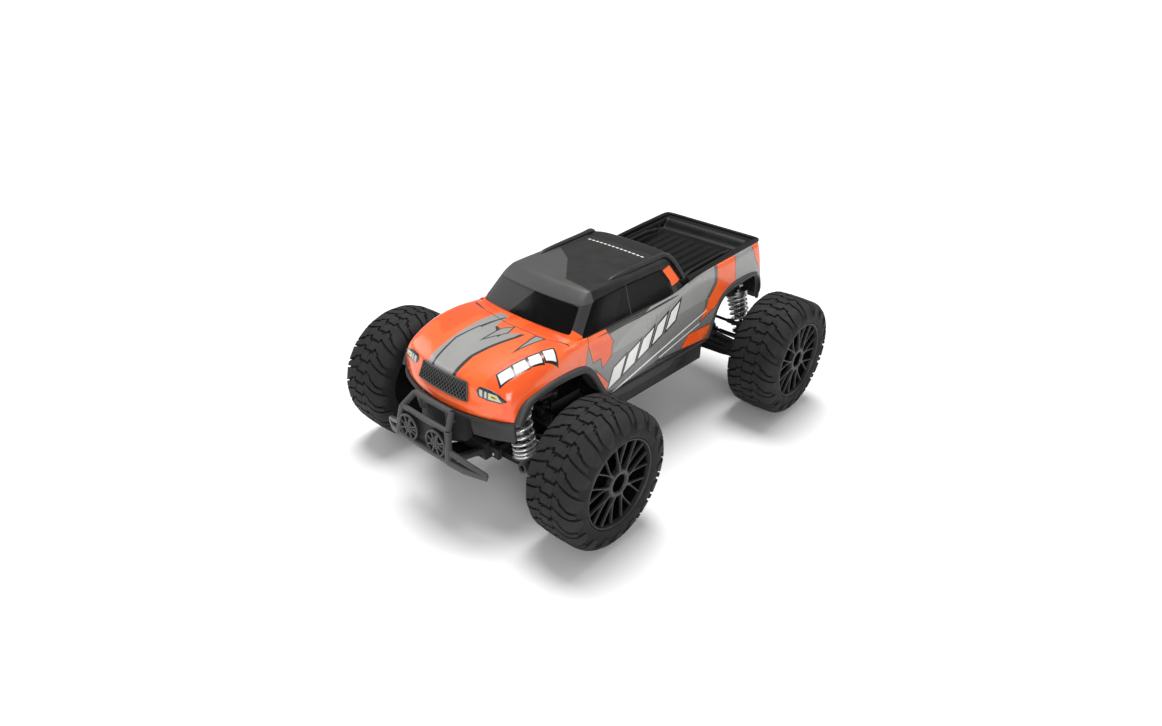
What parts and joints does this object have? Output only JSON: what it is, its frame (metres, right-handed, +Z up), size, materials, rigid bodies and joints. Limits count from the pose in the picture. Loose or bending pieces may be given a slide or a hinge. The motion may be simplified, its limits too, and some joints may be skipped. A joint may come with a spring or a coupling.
{
  "type": "radio controlled monster truck",
  "caption": "Radio-controlled monster truck with a lift-off pickup body, bull bar, big lugged tyres, steering and coil-sprung independent suspension.",
  "frame": {"origin": "on the ground, under the middle of the overall box; the front axle is at y = -134.5 mm and the rear axle at y = +161.5 mm", "axes": "+Z up, the nose faces -Y, the truck's left side is +X"},
  "size_m": [0.295, 0.448, 0.1853],
  "materials": {
    "tyre_rubber": "matte black rubber",
    "rim_plastic": "satin black nylon",
    "dark_steel": "blackened steel",
    "spring_steel": "bright nickel-plated spring wire",
    "polished_rod": "ground steel rod with black end fittings",
    "body_paint": "gloss orange, grey and black paint on a thin shell",
    "motor_can": "satin metal can",
    "battery_wrap": "shrink wrap",
    "electronics_case": "moulded case",
    "bumper_plastic": "satin dark grey nylon",
    "chassis_plastic": "glass-filled black nylon"
  },
  "bodies": {
    "chassis": {"chassis_tub": "chassis_plastic", "front_gearbox": "chassis_plastic", "rear_gearbox": "chassis_plastic", "front_shock_tower": "chassis_plastic", "rear_shock_tower": "chassis_plastic", "front_bumper": "bumper_plastic", "hinge_pins_and_screws": "dark_steel", "drive_motor": "motor_can", "battery_pack": "battery_wrap", "speed_controller": "electronics_case", "steering_servo": "electronics_case"},
    "motor_pinion": {"motor_pinion": "dark_steel"},
    "centre_shaft": {"centre_drive_shaft": "dark_steel"},
    "servo_horn": {"servo_horn": "chassis_plastic"},
    "steering_rack": {"steering_rack": "chassis_plastic"},
    "body_shell": {"body_shell": "body_paint"},
    "front_arm_left": {"front_lower_arm_left": "chassis_plastic"},
    "front_link_left": {"front_camber_link_left": "dark_steel"},
    "front_upright_left": {"front_caster_block_left": "chassis_plastic"},
    "front_knuckle_left": {"front_steering_knuckle_left": "chassis_plastic"},
    "front_wheel_left": {"front_wheel_axle_left": "dark_steel", "front_wheel_rim_left": "rim_plastic", "front_tyre_left": "tyre_rubber"},
    "front_shock_body_left": {"front_shock_body_left": "chassis_plastic", "front_spring_left": "spring_steel"},
    "front_shock_rod_left": {"front_shock_shaft_left": "polished_rod"},
    "front_drive_shaft_left": {"front_drive_shaft_left": "dark_steel"},
    "tie_rod_left": {"tie_rod_left": "dark_steel"},
    "front_arm_right": {"front_lower_arm_right": "chassis_plastic"},
    "front_link_right": {"front_camber_link_right": "dark_steel"},
    "front_upright_right": {"front_caster_block_right": "chassis_plastic"},
    "front_knuckle_right": {"front_steering_knuckle_right": "chassis_plastic"},
    "front_wheel_right": {"front_wheel_axle_right": "dark_steel", "front_wheel_rim_right": "rim_plastic", "front_tyre_right": "tyre_rubber"},
    "front_shock_body_right": {"front_shock_body_right": "chassis_plastic", "front_spring_right": "spring_steel"},
    "front_shock_rod_right": {"front_shock_shaft_right": "polished_rod"},
    "front_drive_shaft_right": {"front_drive_shaft_right": "dark_steel"},
    "tie_rod_right": {"tie_rod_right": "dark_steel"},
    "rear_arm_left": {"rear_lower_arm_left": "chassis_plastic"},
    "rear_link_left": {"rear_camber_link_left": "dark_steel"},
    "rear_upright_left": {"rear_hub_carrier_left": "chassis_plastic"},
    "rear_wheel_left": {"rear_wheel_axle_left": "dark_steel", "rear_wheel_rim_left": "rim_plastic", "rear_tyre_left": "tyre_rubber"},
    "rear_shock_body_left": {"rear_shock_body_left": "chassis_plastic", "rear_spring_left": "spring_steel"},
    "rear_shock_rod_left": {"rear_shock_shaft_left": "polished_rod"},
    "rear_drive_shaft_left": {"rear_drive_shaft_left": "dark_steel"},
    "rear_arm_right": {"rear_lower_arm_right": "chassis_plastic"},
    "rear_link_right": {"rear_camber_link_right": "dark_steel"},
    "rear_upright_right": {"rear_hub_carrier_right": "chassis_plastic"},
    "rear_wheel_right": {"rear_wheel_axle_right": "dark_steel", "rear_wheel_rim_right": "rim_plastic", "rear_tyre_right": "tyre_rubber"},
    "rear_shock_body_right": {"rear_shock_body_right": "chassis_plastic", "rear_spring_right": "spring_steel"},
    "rear_shock_rod_right": {"rear_shock_shaft_right": "polished_rod"},
    "rear_drive_shaft_right": {"rear_drive_shaft_right": "dark_steel"}
  },
  "joints": [
    {"name": "front_left_arm_hinge", "type": "hinge", "parent": "chassis", "child": "front_arm_left", "pos_m": [0.024, -0.1345, 0.046], "axis": [0, -1, 0], "range_deg": [-10, 16], "stiffness_Nm_per_rad": 1.6, "springref_deg": -6.88},
    {"name": "front_left_link_hinge", "type": "hinge", "parent": "chassis", "child": "front_link_left", "pos_m": [0.024, -0.133, 0.082], "axis": [0, -1, 0], "range_deg": [-10, 16]},
    {"name": "front_left_upright_hinge", "type": "hinge", "parent": "front_arm_left", "child": "front_upright_left", "pos_m": [0.078, -0.1345, 0.046], "axis": [0, -1, 0], "range_deg": [-16, 10]},
    {"name": "front_left_steering", "type": "hinge", "parent": "front_upright_left", "child": "front_knuckle_left", "pos_m": [0.088, -0.1345, 0.0625], "axis": [0, 0, 1], "range_deg": [-22, 22]},
    {"name": "front_left_wheel_spin", "type": "hinge", "parent": "front_knuckle_left", "child": "front_wheel_left", "pos_m": [0.12, -0.1345, 0.0625], "axis": [1, 0, 0], "continuous": true},
    {"name": "front_left_shock_hinge", "type": "hinge", "parent": "chassis", "child": "front_shock_body_left", "pos_m": [0.054, -0.158, 0.116], "axis": [0, -1, 0], "range_deg": [-0.68, 0.43]},
    {"name": "front_left_shock_slide", "type": "slide", "parent": "front_shock_body_left", "child": "front_shock_rod_left", "axis": [0.0892, 0, -0.996], "range_m": [-0.01004, 0.00628], "deforming": ["front_spring_left"]},
    {"name": "front_left_drive_shaft_swing", "type": "hinge", "parent": "chassis", "child": "front_drive_shaft_left", "pos_m": [0.034, -0.1345, 0.0625], "axis": [0, -1, 0], "range_deg": [-10, 16]},
    {"name": "front_left_tie_rod_hinge", "type": "hinge", "parent": "steering_rack", "child": "tie_rod_left", "pos_m": [0.034, -0.1085, 0.074], "axis": [0, -1, 0], "range_deg": [-10, 16]},
    {"name": "front_right_arm_hinge", "type": "hinge", "parent": "chassis", "child": "front_arm_right", "pos_m": [-0.024, -0.1345, 0.046], "axis": [0, 1, 0], "range_deg": [-10, 16], "stiffness_Nm_per_rad": 1.6, "springref_deg": -6.88},
    {"name": "front_right_link_hinge", "type": "hinge", "parent": "chassis", "child": "front_link_right", "pos_m": [-0.024, -0.133, 0.082], "axis": [0, 1, 0], "range_deg": [-10, 16]},
    {"name": "front_right_upright_hinge", "type": "hinge", "parent": "front_arm_right", "child": "front_upright_right", "pos_m": [-0.078, -0.1345, 0.046], "axis": [0, 1, 0], "range_deg": [-16, 10]},
    {"name": "front_right_steering", "type": "hinge", "parent": "front_upright_right", "child": "front_knuckle_right", "pos_m": [-0.088, -0.1345, 0.0625], "axis": [0, 0, 1], "range_deg": [-22, 22]},
    {"name": "front_right_wheel_spin", "type": "hinge", "parent": "front_knuckle_right", "child": "front_wheel_right", "pos_m": [-0.12, -0.1345, 0.0625], "axis": [-1, 0, 0], "continuous": true},
    {"name": "front_right_shock_hinge", "type": "hinge", "parent": "chassis", "child": "front_shock_body_right", "pos_m": [-0.054, -0.158, 0.116], "axis": [0, 1, 0], "range_deg": [-0.68, 0.43]},
    {"name": "front_right_shock_slide", "type": "slide", "parent": "front_shock_body_right", "child": "front_shock_rod_right", "axis": [-0.0892, 0, -0.996], "range_m": [-0.01004, 0.00628], "deforming": ["front_spring_right"]},
    {"name": "front_right_drive_shaft_swing", "type": "hinge", "parent": "chassis", "child": "front_drive_shaft_right", "pos_m": [-0.034, -0.1345, 0.0625], "axis": [0, 1, 0], "range_deg": [-10, 16]},
    {"name": "front_right_tie_rod_hinge", "type": "hinge", "parent": "steering_rack", "child": "tie_rod_right", "pos_m": [-0.034, -0.1085, 0.074], "axis": [0, 1, 0], "range_deg": [-10, 16]},
    {"name": "rear_left_arm_hinge", "type": "hinge", "parent": "chassis", "child": "rear_arm_left", "pos_m": [0.024, 0.1615, 0.046], "axis": [0, -1, 0], "range_deg": [-10, 16], "stiffness_Nm_per_rad": 1.6, "springref_deg": -6.88},
    {"name": "rear_left_link_hinge", "type": "hinge", "parent": "chassis", "child": "rear_link_left", "pos_m": [0.024, 0.1535, 0.082], "axis": [0, -1, 0], "range_deg": [-10, 16]},
    {"name": "rear_left_upright_hinge", "type": "hinge", "parent": "rear_arm_left", "child": "rear_upright_left", "pos_m": [0.078, 0.1615, 0.046], "axis": [0, -1, 0], "range_deg": [-16, 10]},
    {"name": "rear_left_wheel_spin", "type": "hinge", "parent": "rear_upright_left", "child": "rear_wheel_left", "pos_m": [0.12, 0.1615, 0.0625], "axis": [1, 0, 0], "continuous": true},
    {"name": "rear_left_shock_hinge", "type": "hinge", "parent": "chassis", "child": "rear_shock_body_left", "pos_m": [0.05, 0.182, 0.112], "axis": [0, -1, 0], "range_deg": [-0.6, 0.94]},
    {"name": "rear_left_shock_slide", "type": "slide", "parent": "rear_shock_body_left", "child": "rear_shock_rod_left", "axis": [0.2499, 0, -0.9683], "range_m": [-0.01171, 0.00733], "deforming": ["rear_spring_left"]},
    {"name": "rear_left_drive_shaft_swing", "type": "hinge", "parent": "chassis", "child": "rear_drive_shaft_left", "pos_m": [0.034, 0.1615, 0.0625], "axis": [0, -1, 0], "range_deg": [-10, 16]},
    {"name": "rear_right_arm_hinge", "type": "hinge", "parent": "chassis", "child": "rear_arm_right", "pos_m": [-0.024, 0.1615, 0.046], "axis": [0, 1, 0], "range_deg": [-10, 16], "stiffness_Nm_per_rad": 1.6, "springref_deg": -6.88},
    {"name": "rear_right_link_hinge", "type": "hinge", "parent": "chassis", "child": "rear_link_right", "pos_m": [-0.024, 0.1535, 0.082], "axis": [0, 1, 0], "range_deg": [-10, 16]},
    {"name": "rear_right_upright_hinge", "type": "hinge", "parent": "rear_arm_right", "child": "rear_upright_right", "pos_m": [-0.078, 0.1615, 0.046], "axis": [0, 1, 0], "range_deg": [-16, 10]},
    {"name": "rear_right_wheel_spin", "type": "hinge", "parent": "rear_upright_right", "child": "rear_wheel_right", "pos_m": [-0.12, 0.1615, 0.0625], "axis": [-1, 0, 0], "continuous": true},
    {"name": "rear_right_shock_hinge", "type": "hinge", "parent": "chassis", "child": "rear_shock_body_right", "pos_m": [-0.05, 0.182, 0.112], "axis": [0, 1, 0], "range_deg": [-0.6, 0.94]},
    {"name": "rear_right_shock_slide", "type": "slide", "parent": "rear_shock_body_right", "child": "rear_shock_rod_right", "axis": [-0.2499, 0, -0.9683], "range_m": [-0.01171, 0.00733], "deforming": ["rear_spring_right"]},
    {"name": "rear_right_drive_shaft_swing", "type": "hinge", "parent": "chassis", "child": "rear_drive_shaft_right", "pos_m": [-0.034, 0.1615, 0.0625], "axis": [0, 1, 0], "range_deg": [-10, 16]},
    {"name": "steering_rack_slide", "type": "slide", "parent": "chassis", "child": "steering_rack", "axis": [1, 0, 0], "range_m": [-0.01, 0.01]},
    {"name": "servo_horn_turn", "type": "hinge", "parent": "chassis", "child": "servo_horn", "pos_m": [0.022, -0.0845, 0.074], "axis": [0, 0, 1], "range_deg": [-34, 34]},
    {"name": "centre_shaft_spin", "type": "hinge", "parent": "chassis", "child": "centre_shaft", "pos_m": [0, 0, 0.0625], "axis": [0, 1, 0], "continuous": true},
    {"name": "motor_pinion_spin", "type": "hinge", "parent": "chassis", "child": "motor_pinion", "pos_m": [0.024, 0.12, 0.0625], "axis": [0, 1, 0], "continuous": true},
    {"name": "body_lift", "type": "slide", "parent": "chassis", "child": "body_shell", "axis": [0, 0, 1], "range_m": [0, 0.12]}
  ],
  "couplings": [
    {"joint": "front_left_link_hinge", "follows": "front_left_arm_hinge", "ratio": 1},
    {"joint": "front_left_upright_hinge", "follows": "front_left_arm_hinge", "ratio": -1},
    {"joint": "front_left_shock_hinge", "follows": "front_left_arm_hinge", "ratio": -0.04143},
    {"joint": "front_left_shock_slide", "follows": "front_left_arm_hinge", "m_per_rad": -0.035864},
    {"joint": "front_left_drive_shaft_swing", "follows": "front_left_arm_hinge", "ratio": 1},
    {"joint": "front_left_tie_rod_hinge", "follows": "front_left_arm_hinge", "ratio": 1},
    {"joint": "front_right_link_hinge", "follows": "front_right_arm_hinge", "ratio": 1},
    {"joint": "front_right_upright_hinge", "follows": "front_right_arm_hinge", "ratio": -1},
    {"joint": "front_right_steering", "follows": "front_left_steering", "ratio": 1},
    {"joint": "front_right_shock_hinge", "follows": "front_right_arm_hinge", "ratio": -0.04143},
    {"joint": "front_right_shock_slide", "follows": "front_right_arm_hinge", "m_per_rad": -0.035864},
    {"joint": "front_right_drive_shaft_swing", "follows": "front_right_arm_hinge", "ratio": 1},
    {"joint": "front_right_tie_rod_hinge", "follows": "front_right_arm_hinge", "ratio": 1},
    {"joint": "rear_left_link_hinge", "follows": "rear_left_arm_hinge", "ratio": 1},
    {"joint": "rear_left_upright_hinge", "follows": "rear_left_arm_hinge", "ratio": -1},
    {"joint": "rear_left_shock_hinge", "follows": "rear_left_arm_hinge", "ratio": 0.05773},
    {"joint": "rear_left_shock_slide", "follows": "rear_left_arm_hinge", "m_per_rad": -0.041856},
    {"joint": "rear_left_drive_shaft_swing", "follows": "rear_left_arm_hinge", "ratio": 1},
    {"joint": "rear_right_link_hinge", "follows": "rear_right_arm_hinge", "ratio": 1},
    {"joint": "rear_right_upright_hinge", "follows": "rear_right_arm_hinge", "ratio": -1},
    {"joint": "rear_right_shock_hinge", "follows": "rear_right_arm_hinge", "ratio": 0.05773},
    {"joint": "rear_right_shock_slide", "follows": "rear_right_arm_hinge", "m_per_rad": -0.041856},
    {"joint": "rear_right_drive_shaft_swing", "follows": "rear_right_arm_hinge", "ratio": 1},
    {"joint": "steering_rack_slide", "follows": "front_left_steering", "m_per_rad": -0.025602},
    {"joint": "servo_horn_turn", "follows": "front_left_steering", "ratio": -1.4719},
    {"joint": "motor_pinion_spin", "follows": "centre_shaft_spin", "ratio": -2.75}
  ]
}
